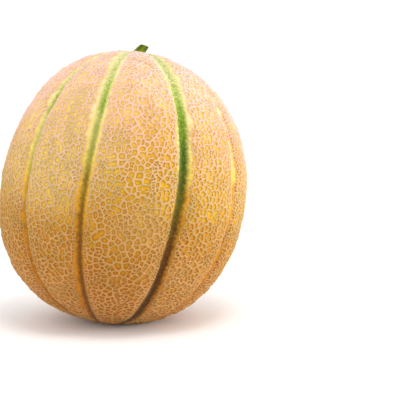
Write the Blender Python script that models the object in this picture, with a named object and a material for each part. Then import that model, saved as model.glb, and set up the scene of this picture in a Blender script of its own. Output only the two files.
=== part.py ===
"""A whole netted cantaloupe that stands on a small flat spot, with the cut stub of its stem.

Metres, +Z up. The fruit is modelled along its own axis, from the blossom end up to the
stem end, and that axis leans a few degrees from upright. The origin is the bottom centre
of the fruit's bounding box, on the surface that it stands on.
"""

import math

import bmesh
import bpy
from mathutils import Matrix, Vector

# The fruit's round body, measured over the crests of its ribs
BELLY_RADIUS = 0.0750
HALF_LENGTH = 0.0839
NARROWER_AT_STEM = 0.047  # share of the radius that the stem end loses and the other gains
FULL_SHOULDERS = 0.091  # how much fuller than an ellipse both ends are
BELLY_SHIFT = 0.0015  # the belly sits this far off the axis, towards +X
LOPSIDED = 0.0028  # the upper half swells towards +X and the lower half towards -X
TWIST = -1.5  # degrees that the sutures turn between the belly and the stem end

# Ribs, between sutures that run from end to end
FIRST_SUTURE = -50.0  # degrees from the front, -Y, towards +X
RIB_WIDTHS = (32.0, 42.0, 35.0, 37.0, 34.0, 37.0, 35.0, 36.5, 35.0, 36.5)  # degrees
RIB_RISE = 0.0017
GROOVE_DEPTH = 0.0021
GROOVE_HALF_WIDTH = 0.0034
SUTURE_SWAY = 0.0009  # how far a suture wanders to either side of its meridian
CALM_AT_STEM = 0.013  # ribs and grooves are at their full height this far from the axis
CALM_AT_BLOSSOM = 0.042

# How the fruit stands
LEAN_RIGHT = 7.3  # degrees, towards +X
LEAN_BACK = 6.3  # degrees, towards +Y
REST_DEPTH = 0.0014  # what the flat spot takes off the lowest point

# The stem's stub: a flared foot on the fruit's axis, a neck, and a cut end off to one side
SEAT_DEPTH = 0.0004  # the scar under the stem, below the fruit's tip
SEAT_GAP = 0.0003
STEM_HEIGHT = 0.0055
STEM_OFFSET = 0.0030  # how far the cut end is to the side, towards +X
STEM_CUT_TILT = 9.0  # degrees that the cut faces away from the fruit's axis
STEM_FOOT_RADIUS = 0.0058
STEM_NECK_RADIUS = 0.0036
STEM_CUT_RADIUS = 0.0027
STEM_NECK_AT = 0.3  # share of the stub's height where the flare of its foot ends

# Mesh fineness
SEGMENTS_PER_RIB = 10
RINGS = 40
CROWDING = 0.55  # 0 spaces the segments evenly across a rib; nearer 1 crowds them at the grooves
STEM_SIDES = 28
STEM_STEPS = 12

SKIN_COLOUR = (0.72, 0.50, 0.25)
STEM_COLOUR = (0.12, 0.17, 0.02)


def clear_scene():
    for obj in list(bpy.data.objects):
        bpy.data.objects.remove(obj)


def material(name, colour, roughness):
    made = bpy.data.materials.new(name)
    made.use_nodes = True
    shader = made.node_tree.nodes["Principled BSDF"]
    shader.inputs["Base Color"].default_value = (*colour, 1.0)
    shader.inputs["Roughness"].default_value = roughness
    shader.inputs["Metallic"].default_value = 0.0
    return made


def smooth_step(value):
    value = min(1.0, max(0.0, value))
    return value * value * (3.0 - 2.0 * value)


def suture_angles():
    """The sutures' longitudes in radians, the first one repeated at the end a turn on."""
    angles = [FIRST_SUTURE]
    for width in RIB_WIDTHS:
        angles.append(angles[-1] + width * 360.0 / sum(RIB_WIDTHS))
    return [math.radians(angle) for angle in angles]


def body_radius(latitude):
    """Distance from the axis to the round body that the ribs and grooves are added to."""
    rise = math.sin(latitude)
    shape = 1.0 - NARROWER_AT_STEM * rise + FULL_SHOULDERS * rise * rise
    return (BELLY_RADIUS - RIB_RISE) * math.cos(latitude) * shape


def relief(across, width, radius, latitude):
    """Height over the round body, at a share `across` of a rib that is `width` radians wide."""
    to_suture = min(across, 1.0 - across) * width * radius
    crown = RIB_RISE * (1.0 - (2.0 * across - 1.0) ** 4)
    groove = GROOVE_DEPTH * math.exp(-((to_suture / GROOVE_HALF_WIDTH) ** 2))
    calm = CALM_AT_STEM if latitude > 0.0 else CALM_AT_BLOSSOM
    return (crown - groove) * smooth_step(1.35 * radius / calm - 0.35)


def place_on_fruit(turn, latitude, sutures):
    """The surface point for a share `turn` of the way round, with the sutures on whole ribs."""
    rib, across = divmod(turn * len(RIB_WIDTHS) + 1e-6, 1.0)
    rib = int(rib) % len(RIB_WIDTHS)
    across -= CROWDING * math.sin(2.0 * math.pi * across) / (2.0 * math.pi)
    width = sutures[rib + 1] - sutures[rib]
    radius = body_radius(latitude)
    rise = math.sin(latitude)
    longitude = sutures[rib] + across * width
    sway = SUTURE_SWAY * math.sin(3.0 * latitude + 2.0 * longitude) * math.cos(latitude)
    longitude += sway / BELLY_RADIUS + math.radians(TWIST) * rise
    radius += relief(across, width, radius, latitude)
    sideways = (BELLY_SHIFT + LOPSIDED * rise) * math.cos(latitude) ** 2
    return Vector(
        (
            radius * math.sin(longitude) + sideways,
            -radius * math.cos(longitude),
            HALF_LENGTH * rise,
        )
    )


def slice_flat(mesh, point, outward):
    """Takes off what lies beyond a plane and closes the cut with one flat face."""
    everything = mesh.verts[:] + mesh.edges[:] + mesh.faces[:]
    cut = bmesh.ops.bisect_plane(
        mesh, geom=everything, plane_co=point, plane_no=outward, clear_outer=True
    )
    rim = [part for part in cut["geom_cut"] if isinstance(part, bmesh.types.BMEdge)]
    bmesh.ops.contextual_create(mesh, geom=rim)


def make_fruit(name, lean):
    """The ribbed fruit along +Z, with the scar under the stem and the flat spot cut into it."""
    sutures = suture_angles()
    segments = SEGMENTS_PER_RIB * len(RIB_WIDTHS)
    mesh = bmesh.new()
    bmesh.ops.create_uvsphere(mesh, u_segments=segments, v_segments=RINGS, radius=1.0)
    for vertex in mesh.verts:
        turn = (math.atan2(vertex.co.y, vertex.co.x) / (2.0 * math.pi)) % 1.0
        latitude = math.asin(max(-1.0, min(1.0, vertex.co.z)))
        vertex.co = place_on_fruit(round(turn * segments) / segments, latitude, sutures)

    slice_flat(mesh, Vector((0.0, 0.0, HALF_LENGTH - SEAT_DEPTH)), Vector((0.0, 0.0, 1.0)))
    down = lean.inverted() @ Vector((0.0, 0.0, -1.0))
    lowest = max(vertex.co.dot(down) for vertex in mesh.verts)
    slice_flat(mesh, down * (lowest - REST_DEPTH), down)
    bmesh.ops.recalc_face_normals(mesh, faces=mesh.faces[:])

    data = bpy.data.meshes.new(name)
    mesh.to_mesh(data)
    mesh.free()
    data.shade_smooth()
    data.set_sharp_from_angle(angle=math.radians(40.0))
    fruit = bpy.data.objects.new(name, data)
    fruit.data.materials.append(material("netted_skin", SKIN_COLOUR, 0.6))
    return fruit


def stem_rings():
    """The stub's rings from the foot to the cut, as rows of sideways, up, tilt and radius."""
    foot = HALF_LENGTH - SEAT_DEPTH + SEAT_GAP
    rings = []
    for step in range(STEM_STEPS + 1):
        share = step / STEM_STEPS
        flare = smooth_step(share / STEM_NECK_AT)
        above = max(0.0, (share - STEM_NECK_AT) / (1.0 - STEM_NECK_AT))
        radius = STEM_FOOT_RADIUS + (STEM_NECK_RADIUS - STEM_FOOT_RADIUS) * flare
        radius += (STEM_CUT_RADIUS - STEM_NECK_RADIUS) * above
        sideways = STEM_OFFSET * share**1.5
        tilt = math.radians(STEM_CUT_TILT) * share
        rings.append((sideways, foot + STEM_HEIGHT * share, tilt, radius))
    return rings


def make_stem(name):
    """The stub, a gap above the scar, as a skin over its rings with a flat foot and cut."""
    mesh = bmesh.new()
    rows = []
    for sideways, up, tilt, radius in stem_rings():
        row = []
        for side in range(STEM_SIDES):
            angle = 2.0 * math.pi * side / STEM_SIDES
            across = radius * math.cos(angle)
            x = sideways + across * math.cos(tilt)
            z = up - across * math.sin(tilt)
            row.append(mesh.verts.new((x, radius * math.sin(angle), z)))
        rows.append(row)
    for below, above in zip(rows, rows[1:]):
        for side in range(STEM_SIDES):
            other = (side + 1) % STEM_SIDES
            mesh.faces.new((below[side], below[other], above[other], above[side]))
    mesh.faces.new(rows[0][::-1])
    mesh.faces.new(rows[-1])

    data = bpy.data.meshes.new(name)
    mesh.to_mesh(data)
    mesh.free()
    data.shade_smooth()
    data.set_sharp_from_angle(angle=math.radians(40.0))
    stem = bpy.data.objects.new(name, data)
    stem.data.materials.append(material("stem", STEM_COLOUR, 0.55))
    return stem


def stand(axis, fruit, lean):
    """Leans the axis and moves it so that the origin is the bottom centre of the fruit's box."""
    corners = [lean @ vertex.co for vertex in fruit.data.vertices]
    low = Vector(min(corner[i] for corner in corners) for i in range(3))
    high = Vector(max(corner[i] for corner in corners) for i in range(3))
    centre = (low + high) / 2.0
    axis.rotation_euler = lean.to_euler()
    axis.location = (-centre.x, -centre.y, -low.z)


def main():
    clear_scene()
    lean = Matrix.Rotation(math.radians(LEAN_RIGHT), 3, "Y") @ Matrix.Rotation(
        math.radians(-LEAN_BACK), 3, "X"
    )
    fruit = make_fruit("melon", lean)
    stem = make_stem("stem")
    axis = bpy.data.objects.new("fruit_axis", None)
    collection = bpy.data.collections.new("cantaloupe")
    bpy.context.scene.collection.children.link(collection)
    for obj in (axis, fruit, stem):
        collection.objects.link(obj)
    fruit.parent = axis
    stem.parent = axis
    stand(axis, fruit, lean)


main()
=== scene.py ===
"""The looks of a whole netted cantaloupe: corky net, green sutures and a cut stem stub.

Every vertex of the skin starts as a direction on a sphere. shape_of() puts it on the ribbed
fruit, and the net is a Voronoi diagram of that sphere, with a raised cord on each cell edge.
"""

import math

import bpy
import numpy as np
from mathutils import Matrix, Vector
from mathutils.geometry import delaunay_2d_cdt


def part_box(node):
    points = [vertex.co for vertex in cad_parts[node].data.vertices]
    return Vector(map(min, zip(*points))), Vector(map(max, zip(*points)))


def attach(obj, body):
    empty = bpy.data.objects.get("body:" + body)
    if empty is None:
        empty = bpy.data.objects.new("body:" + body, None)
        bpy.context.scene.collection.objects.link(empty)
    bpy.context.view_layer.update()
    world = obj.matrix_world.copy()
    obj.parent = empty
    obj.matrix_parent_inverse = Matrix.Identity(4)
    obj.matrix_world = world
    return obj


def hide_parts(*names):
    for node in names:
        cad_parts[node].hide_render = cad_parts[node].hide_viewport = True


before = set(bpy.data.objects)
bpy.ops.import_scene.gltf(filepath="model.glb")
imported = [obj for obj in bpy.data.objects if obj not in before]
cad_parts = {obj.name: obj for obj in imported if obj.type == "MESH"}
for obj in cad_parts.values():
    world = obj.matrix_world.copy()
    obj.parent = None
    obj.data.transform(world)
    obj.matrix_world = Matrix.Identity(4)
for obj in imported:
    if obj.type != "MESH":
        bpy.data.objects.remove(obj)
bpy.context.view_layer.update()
draw = np.random.default_rng(20)

MM = 0.001

# The fruit's round body, as in the CAD model
BELLY_RADIUS = 75.0 * MM
HALF_LENGTH = 83.9 * MM
NARROWER_AT_STEM = 0.047
FULL_SHOULDERS = 0.091
BELLY_SHIFT = 1.5 * MM
LOPSIDED = 2.8 * MM
TWIST = math.radians(-1.5)
FIRST_SUTURE = math.radians(-50.0)
RIB_WIDTHS = np.radians((32.0, 42.0, 35.0, 37.0, 34.0, 37.0, 35.0, 36.5, 35.0, 36.5))
RIB_RISE = 1.7 * MM
GROOVE_DEPTH = 2.1 * MM
GROOVE_HALF_WIDTH = 3.4 * MM
SUTURE_SWAY = 0.9 * MM
CALM_AT_STEM = 13.0 * MM
CALM_AT_BLOSSOM = 42.0 * MM
LEAN_RIGHT = math.radians(7.3)
LEAN_BACK = math.radians(6.3)
REST_DEPTH = 1.4 * MM

# The net
CANDIDATES = 42000  # random places that the cells' centres are picked from
CELL_PITCH = 3.96 * MM  # the usual distance between two cells' centres
PITCH_SPREAD = (0.34, 1.6)  # smallest and largest pitch, as shares of the usual one
COARSE_CELLS = 900  # the thick cords run between these
THICK_CORD = (0.56 * MM, 0.60 * MM)  # half width and height
THIN_CORD = (0.34 * MM, 0.40 * MM)
MISSING_CORDS = 0.22  # share of the long thin cords that never grew
CORD_WAVE = 0.1  # how far a cord's middle strays, as a share of its length
OPEN_REACH = 0.12 * MM  # half width of the seam that is left where a cord is missing
USUAL_ROOM = 1.7 * MM  # a usual cell's radius
BENT_CORD = 1.5 * MM  # cords longer than this get a bend in the middle
ROUNDING = 14.0  # the lower, the rounder a cell's corners
SHORTEST_SIDE = 0.02 * MM  # shorter sides of a cell don't count for its rounded inside
SMALLEST_HALF = 0.15 * MM  # a cell's least distance from its middle to a side
SHOULDER_HEIGHT = 0.88  # share of a cord's height
SHOULDER_NET = 0.96  # how far the shoulder still has the cord's colour
FOOT_HEIGHT = 0.03
SKIN_WAVE = 0.22 * MM  # the skin's own slow bumps
NET_SINK = 0.15 * MM  # how far the skin lies below the CAD surface under the net

# The smooth bands along the sutures
BAND_WANDER = 0.8 * MM  # how far the bands' edges stray
BAND_FRAY = 0.4 * MM  # how unevenly the cords end at a band
BAND_ROWS = (-3.0 * MM, -1.5 * MM, 0.0, 1.5 * MM, 3.0 * MM)  # rows of cells beside a suture
BAND_STEP = 2.0 * MM  # from one cell of a row to the next
BAND_JITTER = 0.2 * MM  # how far a cell is moved off its row
BAND_CLEARANCE = 3.7 * MM  # no other cell's centre is nearer to a suture
BAND_END = 15.0 * MM  # the rows stop this far from the axis
# For each suture: the smooth band's reach before it and past it, and half its green line, in mm
SUTURE_LOOKS = (
    (2.8, 3.0, 1.4),
    (4.0, 3.2, 1.6),
    (3.4, 4.8, 2.7),
    (2.0, 2.2, 0.0),
    (3.6, 3.0, 1.3),
    (3.0, 4.2, 1.8),
    (4.2, 3.6, 2.1),
    (2.6, 2.8, 0.9),
    (4.0, 4.6, 2.0),
    (3.4, 3.0, 1.3),
)
SCAR_RING_RADIUS = 4.875 * MM  # the blossom scar's corky ring
MEAN_RADIUS = 79.0 * MM  # turns an angle at the fruit's centre into a length on its skin
# The paler patch between the first two sutures: its middle, and how far it reaches
PALE_LONGITUDE = math.radians(-36.0)
PALE_LATITUDE = math.radians(16.0)
PALE_REACH = math.radians(40.0)

# The stem stub, as in the CAD model
SEAT_DEPTH = 0.4 * MM
SEAT_GAP = 0.3 * MM
SEAT_HEIGHT = HALF_LENGTH - SEAT_DEPTH + SEAT_GAP
STEM_HEIGHT = 5.5 * MM
STEM_OFFSET = 3.0 * MM
STEM_CUT_TILT = math.radians(9.0)
FOOT_RADIUS = 5.8 * MM
NECK_RADIUS = 3.6 * MM
CUT_RADIUS = 2.7 * MM
NECK_AT = 0.3  # share of the stub's height where the flare of its foot ends
STEM_SIDES = 72
STEM_STEPS = 26
STEM_RIDGES = 5.0
STEM_RIDGE_PHASE = 0.4  # radians
PAD_RADIUS = 7.6 * MM  # the swollen pad round the stem's foot
# The pad's rows as (share of its radius, height), from inside the skin into the crack
PAD_PROFILE = (
    (1.18, -1.6 * MM),
    (1.1, -0.45 * MM),
    (1.03, 0.05 * MM),
    (0.95, 0.42 * MM),
    (0.87, 0.5 * MM),
    (0.81, 0.2 * MM),
    (0.78, -0.15 * MM),
)
# The cut end's rows as (share of its radius, height), from its rim into its dip
CUT_PROFILE = (
    (0.95, 0.22 * MM),
    (0.84, 0.1 * MM),
    (0.6, -0.25 * MM),
    (0.35, -0.4 * MM),
    (0.12, -0.5 * MM),
)

# The camera, measured from the fruit's centre
CAMERA_DISTANCE = 604.5 * MM
CAMERA_ELEVATION = math.radians(5.0)
AIM_RIGHT = math.radians(4.88)
AIM_DOWN = math.radians(6.04)
LENS_MM = 85.0
SENSOR_MM = 36.0

# The studio: each light's name, place from the origin in metres, width in metres and watts
LIGHTS = (
    ("key", (0.1, -0.45, 0.95), 0.35, 2.5),
    ("right_fill", (0.9, -0.1, 0.1), 0.5, 6.8),
    ("left_fill", (-0.9, -0.35, 0.35), 0.5, 1.5),
)
WORLD_STRENGTH = 1.05
FLOOR_GREY = 0.97
FLOOR_WIDTH = 40.0

# The bake map's places, as shares of its side: a strip for the belly above two round caps
CAP_LATITUDE = math.radians(52.0)
STRIP_WIDTH = 0.96525
STRIP_MIDDLE = 0.70
STRIP_HALF_HEIGHT = 0.26
CAP_RADIUS = 0.19
TOP_CAP = 0.24
BOTTOM_CAP = 0.72
CAPS_UP = 0.205


# ---------------------------------------------------------------- small tools


def smooth_step(value, low=0.0, high=1.0):
    share = np.clip((value - low) / (high - low), 0.0, 1.0)
    return share * share * (3.0 - 2.0 * share)


def unit(vectors):
    return vectors / np.linalg.norm(vectors, axis=-1, keepdims=True)


def waves(points, size, seed):
    """Smooth noise between about -1 and 1 over points in metres, with bumps of that size."""
    count = 14
    pick = np.random.default_rng(seed)
    directions = unit(pick.normal(size=(count, 3)))
    lengths = pick.uniform(0.7, 1.5, count)
    phases = pick.uniform(0.0, 2.0 * math.pi, count)
    angles = points @ (directions * (2.0 * math.pi / size * lengths[:, None])).T + phases
    return np.sin(angles).sum(axis=1) / math.sqrt(count)


def tangents(normals):
    """Two unit vectors square to each normal."""
    helper = np.where(np.abs(normals[:, 2:]) < 0.9, [[0.0, 0.0, 1.0]], [[1.0, 0.0, 0.0]])
    first = unit(np.cross(helper, normals))
    return first, np.cross(normals, first)


# ---------------------------------------------------------------- the fruit's shape


def suture_angles():
    widths = RIB_WIDTHS * 2.0 * math.pi / RIB_WIDTHS.sum()
    return FIRST_SUTURE + np.concatenate([[0.0], np.cumsum(widths)])


SUTURES = suture_angles()


def longitude_of(directions):
    """Radians round from the front, -Y, towards +X, counted up from the first suture."""
    angle = np.arctan2(directions[:, 0], -directions[:, 1])
    return (angle - SUTURES[0]) % (2.0 * math.pi) + SUTURES[0]


def rib_of(directions):
    """For each direction its rib's number, the share of the way across it, and its width."""
    longitude = longitude_of(directions)
    rib = np.clip(np.searchsorted(SUTURES, longitude, side="right") - 1, 0, len(RIB_WIDTHS) - 1)
    width = SUTURES[rib + 1] - SUTURES[rib]
    return rib, (longitude - SUTURES[rib]) / width, width


def body_radius(rise, level):
    shape = 1.0 - NARROWER_AT_STEM * rise + FULL_SHOULDERS * rise * rise
    return (BELLY_RADIUS - RIB_RISE) * level * shape


def shape_of(directions):
    """Points of the smooth ribbed fruit, without its net, in its own upright frame."""
    rise = np.clip(directions[:, 2], -1.0, 1.0)
    level = np.sqrt(1.0 - rise * rise)
    _, across, width = rib_of(directions)
    radius = body_radius(rise, level)
    to_suture = np.minimum(across, 1.0 - across) * width * radius
    crown = RIB_RISE * (1.0 - (2.0 * across - 1.0) ** 4)
    groove = GROOVE_DEPTH * np.exp(-((to_suture / GROOVE_HALF_WIDTH) ** 2))
    calm = np.where(rise > 0.0, CALM_AT_STEM, CALM_AT_BLOSSOM)
    radius = radius + (crown - groove) * smooth_step(1.35 * radius / calm - 0.35)
    longitude = longitude_of(directions)
    sway = SUTURE_SWAY * np.sin(3.0 * np.arcsin(rise) + 2.0 * longitude) * level
    longitude = longitude + sway / BELLY_RADIUS + TWIST * rise
    sideways = (BELLY_SHIFT + LOPSIDED * rise) * level * level
    return np.stack(
        [
            radius * np.sin(longitude) + sideways,
            -radius * np.cos(longitude),
            HALF_LENGTH * rise,
        ],
        axis=1,
    )


def normals_of(directions):
    first, second = tangents(directions)
    here = shape_of(directions)
    step = 0.004
    along = shape_of(unit(directions + step * first)) - here
    over = shape_of(unit(directions + step * second)) - here
    return unit(np.cross(along, over))


def suture_distance(directions):
    """Metres to the nearest suture: positive past it and negative before it."""
    _, across, width = rib_of(directions)
    level = np.sqrt(np.clip(1.0 - directions[:, 2] ** 2, 0.0, 1.0))
    girth = width * body_radius(directions[:, 2], level)
    return np.where(across < 0.5, across, across - 1.0) * girth


def suture_looks(directions):
    """For each direction, the row of SUTURE_LOOKS of the suture that is nearest to it."""
    rib, across, _ = rib_of(directions)
    nearest = (rib + (across >= 0.5)) % len(RIB_WIDTHS)
    return np.array(SUTURE_LOOKS)[nearest] * MM


def pole_distance(directions, sign):
    """Metres over the skin to the stem's pole, sign 1, or to the blossom's, sign -1."""
    return np.arccos(np.clip(sign * directions[:, 2], -1.0, 1.0)) * BELLY_RADIUS


def stand_matrix():
    """Where the CAD fruit stands: leaned, and let down until its flat spot is on the ground."""
    lean = Matrix.Rotation(LEAN_RIGHT, 3, "Y") @ Matrix.Rotation(-LEAN_BACK, 3, "X")
    heights = np.linspace(-1.0, 1.0, 361)
    turns = np.linspace(0.0, 2.0 * math.pi, 400, endpoint=False)
    level = np.sqrt(1.0 - heights**2)
    grid = np.stack(
        [
            np.outer(level, np.sin(turns)).ravel(),
            np.outer(level, -np.cos(turns)).ravel(),
            np.repeat(heights, len(turns)),
        ],
        axis=1,
    )
    points = shape_of(grid) @ np.array(lean).T
    low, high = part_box("melon")
    centre = (points.min(axis=0) + points.max(axis=0)) / 2.0
    shift = Vector(
        (
            (low.x + high.x) / 2.0 - centre[0],
            (low.y + high.y) / 2.0 - centre[1],
            low.z - REST_DEPTH - points[:, 2].min(),
        )
    )
    return Matrix.Translation(shift) @ lean.to_4x4()


STAND = stand_matrix()


def to_world(points):
    matrix = np.array(STAND)
    return points @ matrix[:3, :3].T + matrix[:3, 3]


# ---------------------------------------------------------------- the net


def bare_share(directions):
    """1 on the smooth bands along the sutures and 0 on the netted ribs."""
    points = directions * MEAN_RADIUS
    beside = suture_distance(directions)
    looks = suture_looks(directions)
    edge = np.where(beside < 0.0, looks[:, 0], looks[:, 1])
    edge = edge + BAND_WANDER * waves(points, 13.0 * MM, seed=5)
    edge = edge + BAND_FRAY * waves(points, 3.2 * MM, seed=6)
    edge = edge * smooth_step(pole_distance(directions, 1.0), 9.0 * MM, 26.0 * MM)
    edge = edge * (0.35 + 0.65 * smooth_step(pole_distance(directions, -1.0), 14.0 * MM, 45.0 * MM))
    edge = edge * (1.0 - 0.3 * smooth_step(pole_distance(directions, 1.0), 95.0 * MM, 150.0 * MM))
    return 1.0 - smooth_step(np.abs(beside), edge - 1.0 * MM, edge + 1.5 * MM)


def net_is_on(directions):
    """1 where the net is full, 0 on the smooth bands and at both poles."""
    clear_of_stem = smooth_step(pole_distance(directions, 1.0), 6.6 * MM, 8.4 * MM)
    clear_of_scar = smooth_step(pole_distance(directions, -1.0), 3.5 * MM, 5.5 * MM)
    return (1.0 - bare_share(directions)) * clear_of_stem * clear_of_scar


def band_seeds():
    """Rows of cell centres along each suture, so that the mesh follows its groove."""
    rows = []
    for suture in SUTURES[:-1]:
        steps = int(math.pi * HALF_LENGTH / BAND_STEP)
        for number, offset in enumerate(BAND_ROWS):
            latitude = (np.arange(steps) + 0.5 * (number % 2)) / steps * math.pi - math.pi / 2.0
            level = np.cos(latitude)
            keep = level * BELLY_RADIUS > BAND_END
            latitude, level = latitude[keep], level[keep]
            longitude = suture + offset / (level * BELLY_RADIUS)
            rows.append(
                np.stack(
                    [level * np.sin(longitude), -level * np.cos(longitude), np.sin(latitude)],
                    axis=1,
                )
            )
    rows = np.concatenate(rows)
    return unit(rows + draw.uniform(-1.0, 1.0, rows.shape) * BAND_JITTER / MEAN_RADIUS)


def random_pitch(places):
    """The angle at the fruit's centre that each place keeps other cells' centres away by: small
    beside the sutures and near the stem, larger in coarse patches."""
    share = draw.uniform(size=len(places)) ** 1.5
    pitch = PITCH_SPREAD[0] + (PITCH_SPREAD[1] - PITCH_SPREAD[0]) * share
    pitch = pitch * CELL_PITCH / MEAN_RADIUS
    mid_rib = smooth_step(np.abs(suture_distance(places)), 4.0 * MM, 10.0 * MM)
    pitch = pitch * (0.66 + 0.38 * mid_rib) * (1.0 - 0.12 * places[:, 2])
    patch = waves(places * MEAN_RADIUS, 14.0 * MM, seed=11)
    return pitch * np.clip(1.0 + 0.4 * patch, 0.6, 1.6)


def squeeze_of(places):
    """How much narrower than long the cells are at each place, and the way they are squeezed,
    which turns from place to place but is mostly up and down."""
    points = places * MEAN_RADIUS
    squeeze = np.clip(1.7 + 0.8 * waves(points, 22.0 * MM, seed=17), 1.0, 2.7)
    turn = 1.1 * waves(points, 13.0 * MM, seed=18)[:, None]
    east, north = tangents(places)
    return squeeze, np.cos(turn) * north + np.sin(turn) * east


def net_seeds():
    """Random cell centres, no two nearer than their own pitch, and none among the band's rows."""
    candidates = unit(draw.normal(size=(CANDIDATES, 3)))
    level = np.sqrt(1.0 - candidates[:, 2] ** 2) * BELLY_RADIUS
    in_band = np.abs(suture_distance(candidates)) < BAND_CLEARANCE
    candidates = candidates[~(in_band & (level > BAND_END))]
    pitch = random_pitch(candidates)
    order = np.argsort(-pitch * draw.uniform(0.7, 1.3, len(pitch)))
    candidates, pitch = candidates[order], pitch[order]
    squeeze, along = squeeze_of(candidates)
    chosen = np.empty((len(candidates), 3))
    count = 0
    for place, reach, factor, way in zip(candidates, pitch, squeeze, along):
        gap = chosen[:count] - place
        apart = (gap * gap).sum(axis=1) + (factor * factor - 1.0) * (gap @ way) ** 2
        if count and apart.min() < reach * reach * factor:
            continue
        chosen[count] = place
        count += 1
    return chosen[:count]


def voronoi(seeds):
    """The cells of seeds on the unit sphere: the seeds, all the cells' corners, and for each
    cell the numbers of its corners, anticlockwise seen from outside.

    Seen from the stem's pole, circles on the sphere stay circles on a flat map, so the map's
    Delaunay triangles are the sphere's too. The pole itself closes the map's outer rim.
    """
    flat = seeds[:, :2] / (1.0 - seeds[:, 2:])
    found = delaunay_2d_cdt([Vector(spot) for spot in flat], [], [], 0, 0.0)
    places = np.array([seeds[origin[0]] for origin in found[3]])
    places = np.concatenate([places, [[0.0, 0.0, 1.0]]])
    triangles = np.array(found[2])
    sides = np.concatenate([triangles[:, [0, 1]], triangles[:, [1, 2]], triangles[:, [2, 0]]])
    known = set(map(tuple, sides.tolist()))
    rim = [(b, a, len(places) - 1) for a, b in known if (b, a) not in known]
    triangles = np.concatenate([triangles, rim])
    a, b, c = (places[triangles[:, i]] for i in range(3))
    corners = unit(np.cross(b - a, c - a))
    inward = (corners * a).sum(axis=1) < 0.0
    corners[inward] *= -1.0
    triangles[inward] = triangles[inward][:, ::-1]
    follows = {}
    for number, (a, b, c) in enumerate(triangles.tolist()):
        for middle, near, far in ((a, b, c), (b, c, a), (c, a, b)):
            follows.setdefault(middle, {})[near] = (number, far)
    rings = []
    for seed in sorted(follows):
        around = follows[seed]
        at = first = min(around)
        ring = []
        while not ring or at != first:
            number, at = around[at]
            ring.append(number)
        rings.append(ring)
    return places[sorted(follows)], corners, rings


def rings_inside(centre, outline, is_open, normal, distance, reach):
    """Rounded copies of a cell's outline, at the shoulder and at the foot of its cords. Where a
    cord is missing the rings run close to the outline, so that the cell is open to the next."""
    ray = outline - centre
    length = np.linalg.norm(ray, axis=1)
    ray /= length[:, None]
    facing = np.maximum(ray @ normal.T, 0.05)
    rings = []
    most = np.where(is_open, 0.97, 0.9) * length
    for share in (0.45, 1.0):
        limit = np.maximum(distance - share * reach, (0.6 - 0.35 * share) * distance)
        radius = ((limit[None, :] / facing) ** -ROUNDING).sum(axis=1) ** (-1.0 / ROUNDING)
        radius = np.minimum(np.where(is_open, most, radius), most)
        most = np.where(is_open, 0.94, 0.76) * radius
        rings.append(centre + ray * radius[:, None])
    return rings


def flatten(places, seed, axes):
    """Directions as metres on the flat plane that touches the fruit at a cell's seed."""
    return places @ axes / (places @ seed)[:, None] * MEAN_RADIUS


def inside_of_cell(seed, axes, outline, corners, is_open, reach):
    """A cell's inner directions: the ring at its cords' shoulder, the ring at their foot, and its
    middle. The outline has the cords' bends in it as well as the corners."""
    corners = flatten(corners, seed, axes)
    centre = corners.mean(axis=0)
    span = np.roll(corners, -1, axis=0) - corners
    length = np.linalg.norm(span, axis=1)
    solid = length > SHORTEST_SIDE
    normal = np.stack([span[:, 1], -span[:, 0]], axis=1)[solid] / length[solid, None]
    distance = (normal * (corners[solid] - centre)).sum(axis=1)
    distance = np.maximum(distance, SMALLEST_HALF)
    outline = flatten(outline, seed, axes)
    shoulder, foot = rings_inside(centre, outline, is_open, normal, distance, reach[solid])
    inner = np.concatenate([shoulder, foot, centre[None]]) / MEAN_RADIUS
    return unit(seed + inner @ axes.T)


def thick_edges(seeds, cell, edge, count):
    """Which cell edges lie between two of the coarse cells, and so carry a thick cord. Side
    number i of all the cells' sides belongs to cell[i] and is edge[i]."""
    coarse = unit(draw.normal(size=(COARSE_CELLS, 3)))
    group = (seeds @ coarse.T).argmax(axis=1)
    low = np.full(count, len(coarse))
    high = np.full(count, -1)
    np.minimum.at(low, edge, group[cell])
    np.maximum.at(high, edge, group[cell])
    return low != high


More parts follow.
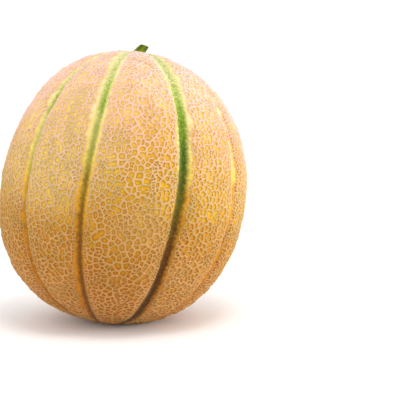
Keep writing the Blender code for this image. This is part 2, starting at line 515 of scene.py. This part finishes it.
def weave_net():
    """The skin's vertices as directions, heights over the smooth fruit, how far they are net,
    how far they are the foot of a cord, and their cells, with -1 for a cord's crest; each cell's
    radius, and a last 0; and the faces."""
    seeds, corners, rings = voronoi(np.concatenate([net_seeds(), band_seeds()]))
    cell = np.repeat(np.arange(len(rings)), [len(ring) for ring in rings])
    near = np.concatenate(rings)
    far = np.concatenate([ring[1:] + ring[:1] for ring in rings])
    pairs = np.sort(np.stack([near, far], axis=1), axis=1)
    edge_ends, edge = np.unique(pairs, axis=0, return_inverse=True)
    edge = edge.reshape(-1)
    thick = thick_edges(seeds, cell, edge, len(edge_ends))
    start, stop = corners[edge_ends[:, 0]], corners[edge_ends[:, 1]]
    long = np.linalg.norm(stop - start, axis=1) * MEAN_RADIUS > BENT_CORD
    missing = long & ~thick & (draw.uniform(size=len(thick)) < MISSING_CORDS)
    vary = draw.uniform(0.5, 1.6, len(thick))
    reach = np.where(thick, THICK_CORD[0], THIN_CORD[0]) * vary
    reach = np.where(missing, OPEN_REACH, reach)
    height = np.where(thick, THICK_CORD[1], THIN_CORD[1]) * vary

    bent = np.flatnonzero(long)
    middle_of = np.full(len(edge_ends), -1)
    middle_of[bent] = len(corners) + np.arange(len(bent))
    stray = np.cross(start + stop, stop - start)
    stray *= draw.uniform(-CORD_WAVE, CORD_WAVE, len(thick))[:, None]
    middles = unit(start + stop + stray)[bent]
    corner_height = np.zeros(len(corners))
    np.maximum.at(corner_height, edge_ends[:, 0], np.where(missing, 0.0, height))
    np.maximum.at(corner_height, edge_ends[:, 1], np.where(missing, 0.0, height))

    crest_places = np.concatenate([corners, middles])
    crest_heights = np.concatenate([corner_height, np.where(missing, 0.0, height)[bent]])
    crest_shares = np.concatenate([np.ones(len(corners)), np.where(missing, 0.0, 1.0)[bent]])
    directions, heights, shares = [crest_places], [crest_heights], [crest_shares]
    total = len(crest_places)
    feet, cells = [np.zeros(total)], [np.full(total, -1)]
    shown = net_is_on(corners)
    faces = []
    first_axis, second_axis = tangents(seeds)
    begin = 0
    for own, ring in enumerate(rings):
        sides = edge[begin : begin + len(ring)]
        begin += len(ring)
        outer = []
        for place, side in zip(ring, sides):
            outer.append(place)
            if middle_of[side] >= 0:
                outer.append(middle_of[side])
        count = len(outer)
        turns = [(i, (i + 1) % count) for i in range(count)]
        if shown[ring].max() < 0.02:
            directions.append(seeds[own][None])
            heights.append([0.0])
            shares.append([0.0])
            feet.append([0.0])
            cells.append([own])
            faces += [(outer[i], outer[j], total) for i, j in turns]
            total += 1
            continue
        axes = np.stack([first_axis[own], second_axis[own]], axis=1)
        outline, crest, share = crest_places[outer], crest_heights[outer], crest_shares[outer]
        directions.append(
            inside_of_cell(seeds[own], axes, outline, corners[ring], share == 0.0, reach[sides])
        )
        heights.append(np.concatenate([SHOULDER_HEIGHT * crest, FOOT_HEIGHT * crest, [0.0]]))
        shares.append(np.concatenate([SHOULDER_NET * share, np.zeros(count + 1)]))
        feet.append(np.concatenate([np.zeros(count), share, [0.0]]))
        cells.append(np.full(2 * count + 1, own))
        middle = total + 2 * count
        for i, j in turns:
            inner_i, inner_j = total + i, total + j
            faces.append((outer[i], outer[j], inner_j, inner_i))
            faces.append((inner_i, inner_j, inner_j + count, inner_i + count))
            faces.append((inner_i + count, inner_j + count, middle))
        total = middle + 1
    columns = (directions, heights, shares, feet, cells)
    room = np.linalg.norm(corners[near] - seeds[cell], axis=1)
    room = np.bincount(cell, room) / np.bincount(cell) * MEAN_RADIUS
    return (*(np.concatenate(column) for column in columns), np.append(room, 0.0), faces)


def scar_relief(directions):
    """The blossom scar: a corky ring with a small pit in it."""
    distance = pole_distance(directions, -1.0)
    ring = 0.5 * MM * np.exp(-(((distance - SCAR_RING_RADIUS) / (1.1 * MM)) ** 2))
    pit = 0.7 * MM * np.exp(-((distance / (2.0 * MM)) ** 2))
    return ring - pit


def bake_uv(mesh, directions):
    """A belly strip and two round caps, side by side, so that no two faces share a place."""
    vertex = np.empty(len(mesh.loops), int)
    mesh.loops.foreach_get("vertex_index", vertex)
    face_size = np.empty(len(mesh.polygons), int)
    mesh.polygons.foreach_get("loop_total", face_size)
    face = np.repeat(np.arange(len(mesh.polygons)), face_size)
    here = directions[vertex]
    middle = np.stack([np.bincount(face, here[:, i]) for i in range(3)], axis=1)
    middle = unit(middle)[face]
    turn = np.arctan2(here[:, 0], here[:, 1])
    home = np.arctan2(middle[:, 0], middle[:, 1])
    turn = home + (turn - home + math.pi) % (2.0 * math.pi) - math.pi
    latitude = np.arcsin(np.clip(here[:, 2], -1.0, 1.0))
    strip = np.stack(
        [
            0.5 + STRIP_WIDTH * turn / (2.0 * math.pi),
            STRIP_MIDDLE + STRIP_HALF_HEIGHT * latitude / CAP_LATITUDE,
        ],
        axis=1,
    )
    apart = math.pi / 2.0 - np.abs(latitude)
    reach = CAP_RADIUS * apart / (math.pi / 2.0 - CAP_LATITUDE)
    cap = np.stack(
        [
            np.where(middle[:, 2] > 0.0, TOP_CAP, BOTTOM_CAP) + reach * np.sin(turn),
            CAPS_UP + reach * np.cos(turn),
        ],
        axis=1,
    )
    in_cap = np.abs(middle[:, 2]) > math.sin(CAP_LATITUDE)
    layer = mesh.uv_layers.new(name="OFBake")
    layer.data.foreach_set("uv", np.where(in_cap[:, None], cap, strip).ravel())


def pale_share(directions):
    """1 in the middle of the fruit's paler patch, and 0 beyond its reach."""
    level = math.cos(PALE_LATITUDE)
    middle = np.array(
        [
            level * math.sin(PALE_LONGITUDE),
            -level * math.cos(PALE_LONGITUDE),
            math.sin(PALE_LATITUDE),
        ]
    )
    return smooth_step(directions @ middle, math.cos(PALE_REACH), 1.0)


def put_attribute(mesh, name, values):
    attribute = mesh.attributes.new(name, "FLOAT", "POINT")
    attribute.data.foreach_set("value", np.asarray(values, np.float32))


def make_skin():
    directions, heights, shares, feet, cells, room, faces = weave_net()
    shown = net_is_on(directions)
    # The mask also lowers the cords, so that they thin out towards a band.
    over = heights * shown + scar_relief(directions)
    grain = waves(directions * MEAN_RADIUS, 21.0 * MM, seed=8)
    over = over + SKIN_WAVE * grain * (0.4 + 0.6 * shown) - NET_SINK * shown
    points = shape_of(directions) + normals_of(directions) * over[:, None]
    points = to_world(points)
    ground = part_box("melon")[0].z
    points[:, 2] = np.maximum(points[:, 2], ground)
    mesh = bpy.data.meshes.new("skin")
    mesh.from_pydata(points.tolist(), [], faces)
    mesh.shade_smooth()
    put_attribute(mesh, "net", shares * shown)
    put_attribute(mesh, "foot", feet * shown)
    put_attribute(mesh, "bare", bare_share(directions))
    put_attribute(mesh, "green_line", suture_looks(directions)[:, 2] / MM)
    # Signed, so that it runs evenly across a suture, and a sine, so that it doesn't jump half way
    # across a rib, where mid_rib tells the shader that no suture is near.
    _, across, width = rib_of(directions)
    phase = 2.0 * math.pi * across
    level = np.sqrt(np.clip(1.0 - directions[:, 2] ** 2, 0.0, 1.0))
    girth = width * body_radius(directions[:, 2], level) / MM
    put_attribute(mesh, "beside_suture", girth * np.sin(phase) / (2.0 * math.pi))
    put_attribute(mesh, "mid_rib", np.clip(-np.cos(phase), 0.0, 1.0))
    put_attribute(mesh, "rise", directions[:, 2])
    put_attribute(mesh, "from_stem", pole_distance(directions, 1.0) / MM)
    put_attribute(mesh, "from_blossom", pole_distance(directions, -1.0) / MM)
    put_attribute(mesh, "pale", pale_share(directions))
    # A random tint for each cell, higher for a roomy one. The crests' cell, -1, has no room.
    tint = np.random.default_rng(3).uniform(-0.5, 0.5, len(room))
    tint += np.clip((room - USUAL_ROOM) / USUAL_ROOM, -1.0, 1.0)
    put_attribute(mesh, "cell_tint", tint[cells])
    bake_uv(mesh, directions)
    skin = bpy.data.objects.new("skin", mesh)
    bpy.context.scene.collection.objects.link(skin)
    return skin


# ---------------------------------------------------------------- the stem


def stem_frames():
    """Share of the height, centre, tilt to the side and radius, from the foot to the cut."""
    for share in np.linspace(0.0, 1.0, STEM_STEPS):
        up = SEAT_HEIGHT + STEM_HEIGHT * share
        centre = Vector((STEM_OFFSET * share**1.5, 0.0, up))
        flare = smooth_step(share, 0.0, NECK_AT)
        above = max(0.0, (share - NECK_AT) / (1.0 - NECK_AT))
        radius = FOOT_RADIUS + (NECK_RADIUS - FOOT_RADIUS) * flare
        radius += (CUT_RADIUS - NECK_RADIUS) * above
        yield share, centre, STEM_CUT_TILT * share, radius


def make_stem():
    """The ridged stub with its swollen pad, and a dry cut end that dips in the middle."""
    rows = []
    looks = []

    def add_row(centre, tilt, radius, ridge, dip, look):
        side = Vector((math.cos(tilt), 0.0, -math.sin(tilt)))
        forward = Vector((math.sin(tilt), 0.0, math.cos(tilt)))
        ring = []
        for step in range(STEM_SIDES):
            angle = 2.0 * math.pi * step / STEM_SIDES
            flute = 0.6 * math.cos(STEM_RIDGES * angle + STEM_RIDGE_PHASE)
            flute += 0.4 * math.cos(11.0 * angle)
            spread = radius * (1.0 + ridge * flute)
            place = centre + side * (spread * math.cos(angle))
            place = place + Vector((0.0, spread * math.sin(angle), 0.0)) + forward * dip
            ring.append(place)
        rows.append(ring)
        looks.append(look)

    base = Vector((0.0, 0.0, SEAT_HEIGHT))
    # The pad: up from inside the skin, over its swelling, down into the crack round the foot.
    for share, up in PAD_PROFILE:
        middle = base + Vector((0.0, 0.0, up))
        add_row(middle, 0.0, PAD_RADIUS * share, 0.012, 0.0, (0.0, share))
    for share, centre, tilt, radius in stem_frames():
        add_row(centre, tilt, radius, 0.035 + 0.05 * share, 0.0, (0.15 + 0.65 * share, 0.0))
    for shrink, dip in CUT_PROFILE:
        add_row(centre, STEM_CUT_TILT, CUT_RADIUS * shrink, 0.06, dip, (1.0, 1.0 - shrink))

    points = np.array([list(place) for ring in rows for place in ring])
    grain = waves(points, 1.6 * MM, seed=12)
    heart = np.array(list(centre)) * 0.98
    points = points + unit(points - heart) * (0.06 * MM * grain)[:, None]
    faces = []
    for row in range(len(rows) - 1):
        here, above = row * STEM_SIDES, (row + 1) * STEM_SIDES
        for step in range(STEM_SIDES):
            other = (step + 1) % STEM_SIDES
            faces.append((here + step, here + other, above + other, above + step))
    faces.append(tuple(range(STEM_SIDES))[::-1])
    faces.append(tuple((len(rows) - 1) * STEM_SIDES + step for step in range(STEM_SIDES)))
    mesh = bpy.data.meshes.new("stem_stub")
    mesh.from_pydata(to_world(points).tolist(), [], faces)
    mesh.shade_smooth()
    angle = np.tile(np.arange(STEM_SIDES) * 2.0 * math.pi / STEM_SIDES, len(rows))
    put_attribute(mesh, "along", np.repeat([look[0] for look in looks], STEM_SIDES))
    put_attribute(mesh, "out", np.repeat([look[1] for look in looks], STEM_SIDES))
    put_attribute(mesh, "ridge", 0.5 + 0.5 * np.cos(STEM_RIDGES * angle + STEM_RIDGE_PHASE))
    stem = bpy.data.objects.new("stem_stub", mesh)
    bpy.context.scene.collection.objects.link(stem)
    return stem


# ---------------------------------------------------------------- materials


def linear(red, green, blue):
    """A colour that is named by its usual 0-255 values, as the shader wants it."""
    parts = []
    for value in (red, green, blue):
        value = value / 255.0
        parts.append(value / 12.92 if value <= 0.04045 else ((value + 0.055) / 1.055) ** 2.4)
    return (*parts, 1.0)


class Shader:
    """A material's node tree, with one method for each kind of node that is used here."""

    def __init__(self, name, roughness):
        self.material = bpy.data.materials.new(name)
        self.material.use_nodes = True
        self.tree = self.material.node_tree
        self.surface = self.tree.nodes["Principled BSDF"]
        self.surface.inputs["Roughness"].default_value = roughness

    def link(self, value, socket):
        if isinstance(value, bpy.types.NodeSocket):
            self.tree.links.new(value, socket)
        else:
            socket.default_value = value

    def attribute(self, name):
        node = self.tree.nodes.new("ShaderNodeAttribute")
        node.attribute_name = name
        return node.outputs["Fac"]

    def math(self, operation, first, second=0.0):
        node = self.tree.nodes.new("ShaderNodeMath")
        node.operation = operation
        self.link(first, node.inputs[0])
        self.link(second, node.inputs[1])
        return node.outputs[0]

    def span(self, value, low, high, to_low=0.0, to_high=1.0):
        node = self.tree.nodes.new("ShaderNodeMapRange")
        node.interpolation_type = "SMOOTHSTEP"
        for socket, number in zip(node.inputs[:5], (value, low, high, to_low, to_high)):
            self.link(number, socket)
        return node.outputs[0]

    def ramp(self, value, stops):
        node = self.tree.nodes.new("ShaderNodeValToRGB")
        elements = node.color_ramp.elements
        while len(elements) < len(stops):
            elements.new(1.0)
        for element, (place, colour) in zip(elements, stops):
            element.position = place
            element.color = linear(*colour)
        self.link(value, node.inputs[0])
        return node.outputs["Color"]

    def mix(self, share, first, second, blend="MIX"):
        node = self.tree.nodes.new("ShaderNodeMix")
        node.data_type = "RGBA"
        node.blend_type = blend
        self.link(share, node.inputs[0])
        self.link(first, node.inputs[6])
        self.link(second, node.inputs[7])
        return node.outputs[2]

    def noise(self, scale, detail=2.0, roughness=0.5):
        if not hasattr(self, "place"):
            self.place = self.tree.nodes.new("ShaderNodeTexCoord").outputs["Object"]
        node = self.tree.nodes.new("ShaderNodeTexNoise")
        node.inputs["Scale"].default_value = scale
        node.inputs["Detail"].default_value = detail
        node.inputs["Roughness"].default_value = roughness
        self.link(self.place, node.inputs["Vector"])
        return node.outputs["Fac"]

    def bump(self, height, distance, strength=1.0):
        node = self.tree.nodes.new("ShaderNodeBump")
        node.inputs["Distance"].default_value = distance
        node.inputs["Strength"].default_value = strength
        self.link(height, node.inputs["Height"])
        self.link(node.outputs["Normal"], self.surface.inputs["Normal"])


# Colours from the blossom end to the stem end, as (place, colour); 0 is the blossom end. The pale,
# pinkish stem end is partly painted light from above, and the darker, more orange blossom end is
# partly painted shade and painted orange bounce light; the rest is the skin's own colour.
FLOOR_COLOURS = (
    (0.0, (170, 104, 2)),
    (0.32, (190, 134, 2)),
    (0.41, (200, 151, 10)),
    (0.5, (208, 160, 22)),
    (0.6, (208, 160, 46)),
    (0.79, (226, 181, 90)),
    (1.0, (239, 203, 160)),
)
CORD_COLOURS = (
    (0.0, (184, 130, 70)),
    (0.32, (182, 144, 84)),
    (0.5, (200, 167, 118)),
    (0.6, (208, 172, 128)),
    (0.79, (226, 181, 160)),
    (1.0, (244, 207, 206)),
)
BAND_COLOURS = (
    (0.0, (192, 114, 12)),
    (0.3, (214, 150, 26)),
    (0.5, (230, 174, 62)),
    (0.6, (238, 192, 92)),
    (0.78, (240, 202, 152)),
    (1.0, (240, 214, 184)),
)
SUTURE_COLOURS = (
    (0.0, (80, 40, 0)),
    (0.22, (92, 52, 0)),
    (0.32, (94, 70, 0)),
    (0.43, (92, 88, 0)),
    (0.56, (78, 86, 0)),
    (0.65, (66, 94, 0)),
    (0.72, (82, 114, 4)),
    (0.77, (104, 130, 20)),
    (0.82, (116, 146, 26)),
    (0.87, (130, 160, 42)),
    (0.92, (162, 182, 76)),
    (0.96, (198, 202, 124)),
    (1.0, (212, 210, 150)),
)


def floor_colour(shader, height, patch):
    """The skin between the cords: yellower in wide cells, and darker at the foot of a cord, which
    is painted shade.
    """
    floor = shader.ramp(height, FLOOR_COLOURS)
    room = shader.span(shader.attribute("cell_tint"), -0.7, 0.8)
    narrow = shader.mix(1.0, floor, linear(240, 222, 150), "MULTIPLY")
    wide = shader.mix(1.0, floor, linear(255, 255, 235), "MULTIPLY")
    floor = shader.mix(room, narrow, wide)
    pale = shader.span(shader.noise(22.0, 2.0), 0.5, 0.7, 0.0, 0.25)
    floor = shader.mix(pale, floor, shader.mix(0.5, floor, linear(236, 214, 160)))
    floor = shader.mix(patch, floor, linear(226, 204, 126))
    # Painted shade: each cord's foot darkens the floor beside it, more strongly towards the blossom
    # end.
    foot = shader.span(shader.attribute("foot"), 0.3, 1.0, 0.0, 0.5)
    foot = shader.math("MULTIPLY", foot, shader.span(height, 0.9, 0.55, 0.4, 1.0))
    return shader.mix(foot, floor, shader.mix(1.0, floor, linear(178, 138, 40), "MULTIPLY"))


def cord_colour(shader, height, patch):
    """The corky cords, finely mottled, and dull and greenish in patches."""
    cord = shader.ramp(height, CORD_COLOURS)
    fine = shader.math("MULTIPLY", shader.noise(1400.0, 3.0, 0.6), 0.4)
    cord = shader.mix(fine, cord, linear(206, 150, 104))
    cord = shader.mix(shader.math("MULTIPLY", patch, 0.8), cord, linear(218, 188, 160))
    dull = shader.span(shader.noise(95.0, 3.0, 0.6), 0.46, 0.62, 0.0, 0.4)
    return shader.mix(dull, cord, shader.mix(1.0, cord, linear(206, 226, 190), "MULTIPLY"))


def band_colour(shader, height, outside, half):
    """The smooth bands: stained low down, with a rusty rim on the lower half and a greenish one
    on the upper half where the green line is wide."""
    band = shader.ramp(height, BAND_COLOURS)
    stain = shader.span(shader.noise(120.0, 4.0, 0.7), 0.5, 0.75)
    stain = shader.math("MULTIPLY", stain, shader.span(height, 0.75, 0.45, 0.0, 0.6))
    band = shader.mix(stain, band, linear(170, 96, 14))
    rim = shader.math("MULTIPLY", shader.span(outside, 3.4, 0.6), shader.span(height, 0.72, 0.55))
    broken = shader.span(shader.noise(150.0, 4.0, 0.7), 0.38, 0.6, 0.0, 0.9)
    rim = shader.math("MULTIPLY", rim, broken)
    rim = shader.math("MULTIPLY", rim, shader.span(half, 1.0, 2.4))
    band = shader.mix(rim, band, linear(184, 116, 4))
    halo = shader.math("MULTIPLY", shader.span(outside, 3.0, 0.2), shader.span(half, 0.6, 1.2))
    halo = shader.math("MULTIPLY", halo, shader.span(height, 0.45, 0.6, 0.0, 0.55))
    return shader.mix(halo, band, linear(212, 212, 104))


def suture_colour(shader, height, band):
    """The green line's dark strands, with a few specks of the band."""
    suture = shader.ramp(height, SUTURE_COLOURS)
    strand = shader.math("ADD", shader.noise(850.0, 4.0, 0.7), 0.44)
    strand = shader.math("POWER", strand, 3.4)
    suture = shader.mix(1.0, suture, strand, "MULTIPLY")
    speck = shader.span(shader.noise(620.0, 4.0, 0.7), 0.55, 0.7, 0.0, 0.15)
    return shader.mix(speck, suture, band)


def suture_share(shader, height, outside, half):
    """How much of the band the green line covers. A narrow line is faint about the belly."""
    upper = shader.math("MULTIPLY", shader.span(height, 0.68, 0.88), shader.span(half, 0.4, 1.4))
    lower = shader.math("MULTIPLY", shader.span(height, 0.66, 0.5), shader.span(half, 1.3, 1.7))
    strength = shader.math("MAXIMUM", shader.span(half, 0.0, 2.6), upper)
    strength = shader.math("MAXIMUM", strength, lower)
    return shader.math("MULTIPLY", shader.span(outside, -1.4, 1.5, 1.0, 0.0), strength)


def skin_material():
    shader = Shader("netted_rind", 0.6)
    net = shader.attribute("net")
    # Height runs the colour ramps, whose lighter top and darker, more orange bottom are partly
    # painted light and shade.
    height = shader.span(shader.attribute("rise"), -1.0, 1.0)
    drift = shader.math("MULTIPLY", shader.noise(28.0), 0.16)
    height = shader.math("ADD", height, shader.math("SUBTRACT", drift, 0.08))
    patch = shader.math("MULTIPLY", shader.attribute("pale"), 0.42)
    # Millimetres from the green line's edge, which is ragged
    half = shader.attribute("green_line")
    beside = shader.math("ABSOLUTE", shader.attribute("beside_suture"))
    beside = shader.math("ADD", beside, shader.math("MULTIPLY", shader.attribute("mid_rib"), 30.0))
    ragged = shader.math("SUBTRACT", shader.noise(520.0, 5.0, 0.75), 0.5)
    beside = shader.math("ADD", beside, shader.math("MULTIPLY", ragged, 5.0))
    outside = shader.math("SUBTRACT", beside, half)

    floor = floor_colour(shader, height, patch)
    band = band_colour(shader, height, outside, half)
    floor = shader.mix(shader.attribute("bare"), floor, band)
    suture = suture_colour(shader, height, band)
    floor = shader.mix(suture_share(shader, height, outside, half), floor, suture)
    cord = cord_colour(shader, height, patch)
    near_stem = shader.span(shader.attribute("from_stem"), 6.0, 18.0, 0.6, 0.0)
    floor = shader.mix(near_stem, floor, linear(190, 200, 104))
    cord = shader.mix(shader.math("MULTIPLY", near_stem, 0.35), cord, linear(216, 210, 150))
    scar = shader.span(shader.attribute("from_blossom"), 4.0, 7.5, 0.85, 0.0)
    floor = shader.mix(scar, floor, linear(140, 100, 56))

    colour = shader.mix(shader.span(net, 0.2, 0.7), floor, cord)
    shader.link(colour, shader.surface.inputs["Base Color"])
    gloss = shader.span(net, 0.1, 0.8, 0.48, 0.78)
    shader.link(gloss, shader.surface.inputs["Roughness"])
    grain = shader.math("MULTIPLY", shader.noise(1500.0, 4.0, 0.6), shader.math("ADD", net, 0.25))
    shader.bump(grain, 0.00035, 0.8)
    shader.surface.inputs["Specular IOR Level"].default_value = 0.15
    shader.surface.inputs["Sheen Weight"].default_value = 0.18
    shader.surface.inputs["Sheen Tint"].default_value = (1.0, 0.9, 0.45, 1.0)
    shader.surface.inputs["Sheen Roughness"].default_value = 0.5
    return shader.material


STEM_COLOURS = (
    (0.0, (190, 200, 122)),
    (0.2, (128, 142, 40)),
    (0.45, (84, 98, 6)),
    (0.8, (64, 78, 4)),
    (0.93, (50, 54, 14)),
    (1.0, (60, 56, 30)),
)


def stem_material():
    shader = Shader("stem_stub", 0.55)
    along = shader.attribute("along")
    mottle = shader.math("MULTIPLY", shader.math("SUBTRACT", shader.noise(500.0, 3.0), 0.5), 0.25)
    colour = shader.ramp(shader.math("ADD", along, mottle), STEM_COLOURS)
    fibre = shader.span(shader.attribute("ridge"), 0.2, 0.9)
    colour = shader.mix(shader.math("MULTIPLY", fibre, 0.3), colour, linear(146, 158, 44))
    crack = shader.span(shader.attribute("out"), 0.79, 0.85, 1.0, 0.0)
    is_pad = shader.span(along, 0.02, 0.1, 1.0, 0.0)
    crack = shader.math("MULTIPLY", is_pad, crack)
    colour = shader.mix(crack, colour, linear(58, 52, 22))
    is_cut = shader.span(along, 0.9, 0.99)
    shade = shader.mix(shader.noise(2400.0, 3.0), linear(40, 38, 20), linear(112, 104, 70))
    colour = shader.mix(is_cut, colour, shade)
    shader.link(colour, shader.surface.inputs["Base Color"])
    shader.bump(shader.noise(1800.0, 4.0, 0.6), 0.0003, 0.6)
    shader.surface.inputs["Specular IOR Level"].default_value = 0.1
    return shader.material


# ---------------------------------------------------------------- stage


def make_floor():
    low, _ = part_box("melon")
    bpy.ops.mesh.primitive_plane_add(size=FLOOR_WIDTH, location=(0.0, 0.0, low.z))
    floor = bpy.context.object
    floor.name = "floor"
    shader = Shader("floor", 0.9)
    shader.surface.inputs["Base Color"].default_value = (FLOOR_GREY, FLOOR_GREY, FLOOR_GREY, 1.0)
    shader.surface.inputs["Specular IOR Level"].default_value = 0.0
    floor.data.materials.append(shader.material)


def make_light(name, place, width, watts):
    data = bpy.data.lights.new(name, "AREA")
    data.shape = "DISK"
    data.size = width
    data.energy = watts
    light = bpy.data.objects.new(name, data)
    light.location = place
    towards = STAND.translation - Vector(place)
    light.rotation_euler = towards.to_track_quat("-Z", "Y").to_euler()
    bpy.context.scene.collection.objects.link(light)


def make_world():
    world = bpy.data.worlds.new("studio")
    world.use_nodes = True
    background = world.node_tree.nodes["Background"]
    background.inputs["Color"].default_value = (1.0, 1.0, 1.0, 1.0)
    background.inputs["Strength"].default_value = WORLD_STRENGTH
    bpy.context.scene.world = world
    bpy.context.scene.view_settings.view_transform = "Standard"


def make_camera():
    centre = STAND.translation
    away = Vector((0.0, -math.cos(CAMERA_ELEVATION), math.sin(CAMERA_ELEVATION)))
    forward = Vector(
        (
            math.sin(AIM_RIGHT) * math.cos(AIM_DOWN),
            math.cos(AIM_RIGHT) * math.cos(AIM_DOWN),
            -math.sin(AIM_DOWN),
        )
    )
    data = bpy.data.cameras.new("camera")
    data.lens = LENS_MM
    data.sensor_width = SENSOR_MM
    data.clip_start = 0.01
    camera = bpy.data.objects.new("camera", data)
    camera.location = centre + away * CAMERA_DISTANCE
    camera.rotation_euler = forward.to_track_quat("-Z", "Y").to_euler()
    bpy.context.scene.collection.objects.link(camera)
    bpy.context.scene.camera = camera


def main():
    skin = make_skin()
    skin.data.materials.append(skin_material())
    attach(skin, "root")
    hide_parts("melon")
    stem = make_stem()
    stem.data.materials.append(stem_material())
    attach(stem, "root")
    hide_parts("stem")
    make_floor()
    make_world()
    for name, place, width, watts in LIGHTS:
        make_light(name, place, width, watts)
    make_camera()


main()
